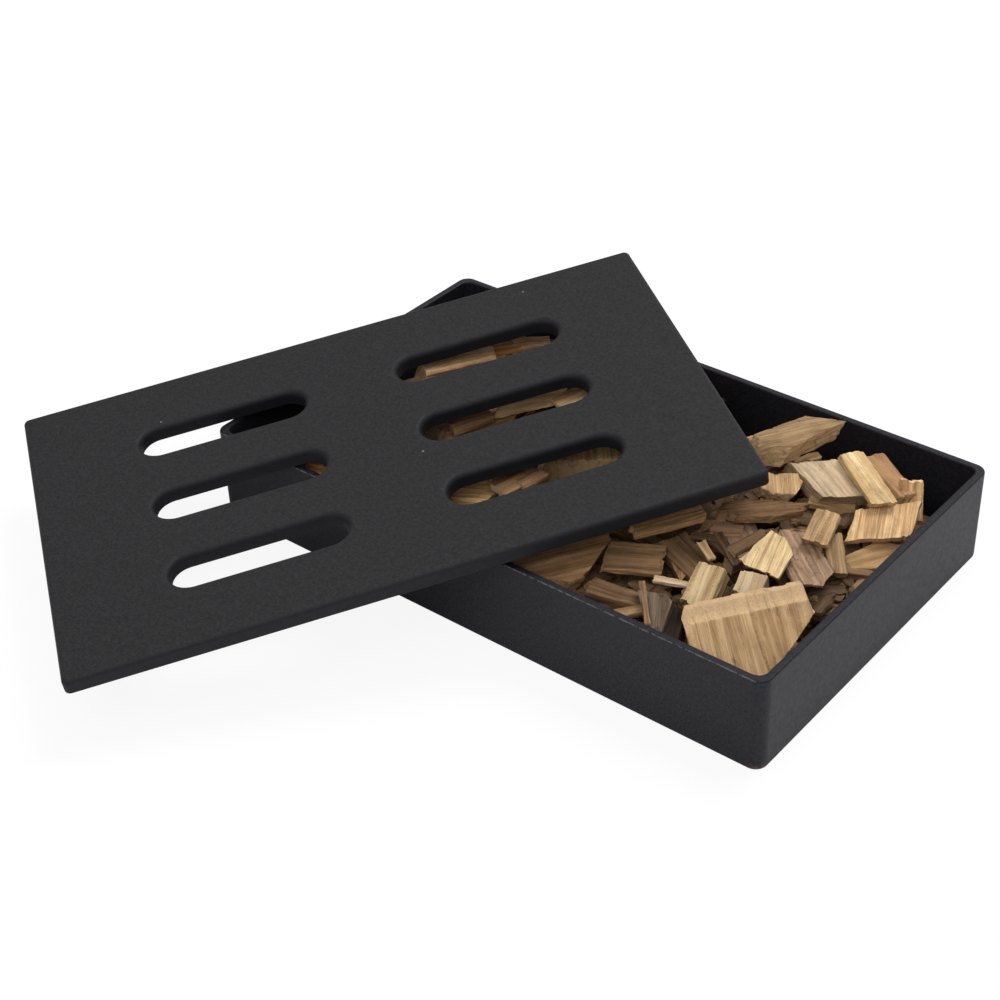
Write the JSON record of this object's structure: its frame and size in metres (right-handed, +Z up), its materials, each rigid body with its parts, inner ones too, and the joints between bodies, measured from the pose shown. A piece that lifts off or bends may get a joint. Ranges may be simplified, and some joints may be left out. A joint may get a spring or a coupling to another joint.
{
  "type": "grill smoker box",
  "caption": "Cast-iron smoker box for a grill: an oblong tray full of wood chips under a loose slotted lid that lies askew and lifts off.",
  "frame": {"origin": "centre of the tray's flat underside", "axes": "+X along the tray's long side, +Y across it towards the back, +Z up"},
  "size_m": [0.2638, 0.2415, 0.058],
  "materials": {
    "tray_iron": "seasoned, matt, fine sand-cast grain",
    "lid_iron": "seasoned, matt, fine sand-cast grain",
    "chip_pale_wood": "dry split wood, pale",
    "chip_tan_wood": "dry split wood, tan",
    "chip_brown_wood": "dry split wood, brown",
    "chip_bark": "rough bark and stringy wood"
  },
  "bodies": {
    "tray_and_chips": {"tray": "tray_iron", "chip_floor_01": "chip_brown_wood", "chip_floor_02": "chip_brown_wood", "chip_floor_03": "chip_brown_wood", "chip_floor_04": "chip_brown_wood", "chip_floor_05": "chip_brown_wood", "chip_floor_06": "chip_brown_wood", "chip_floor_07": "chip_brown_wood", "chip_floor_08": "chip_brown_wood", "chip_floor_09": "chip_brown_wood", "chip_floor_10": "chip_brown_wood", "chip_floor_11": "chip_brown_wood", "chip_floor_12": "chip_brown_wood", "chip_middle_01": "chip_brown_wood", "chip_middle_02": "chip_brown_wood", "chip_middle_03": "chip_brown_wood", "chip_middle_04": "chip_brown_wood", "chip_middle_05": "chip_brown_wood", "chip_middle_06": "chip_brown_wood", "chip_middle_07": "chip_brown_wood", "chip_middle_08": "chip_brown_wood", "chip_middle_09": "chip_brown_wood", "chip_middle_10": "chip_brown_wood", "chip_middle_11": "chip_brown_wood", "chip_middle_12": "chip_brown_wood", "chip_big_near": "chip_pale_wood", "chip_dark_strip": "chip_brown_wood", "chip_wall_side": "chip_tan_wood", "chip_smooth_tan": "chip_pale_wood", "chip_wide_brown": "chip_brown_wood", "chip_grooved_back": "chip_brown_wood", "chip_grooved": "chip_brown_wood", "chip_grey_bark": "chip_bark", "chip_flat_tan": "chip_pale_wood", "chip_pale_side": "chip_pale_wood", "chip_bark": "chip_bark", "chip_pink": "chip_bark", "chip_curled": "chip_brown_wood", "chip_red_brown": "chip_brown_wood", "chip_cream_stripe": "chip_pale_wood", "chip_upright_sliver": "chip_tan_wood", "chip_ribbed": "chip_tan_wood", "chip_short_pale": "chip_pale_wood", "chip_upright_yellow": "chip_pale_wood", "chip_long_fibrous": "chip_bark", "chip_yellow_stick": "chip_pale_wood", "chip_yellow_tan": "chip_pale_wood", "chip_light_tan": "chip_pale_wood", "chip_back_slab": "chip_tan_wood", "chip_slot_left_end": "chip_brown_wood", "chip_slot_low_tan": "chip_tan_wood", "chip_slot_low_big": "chip_tan_wood", "chip_slot_low_brown": "chip_brown_wood", "chip_slot_mid_brown": "chip_brown_wood", "chip_slot_mid_tan": "chip_tan_wood", "chip_slot_top_salmon": "chip_tan_wood", "chip_slot_top_brown": "chip_tan_wood", "chip_prop": "chip_tan_wood"},
    "lid": {"lid": "lid_iron"}
  },
  "joints": [
    {"name": "lid_lift", "type": "slide", "parent": "tray_and_chips", "child": "lid", "axis": [0, 0, 1], "range_m": [0, 0.08]}
  ]
}
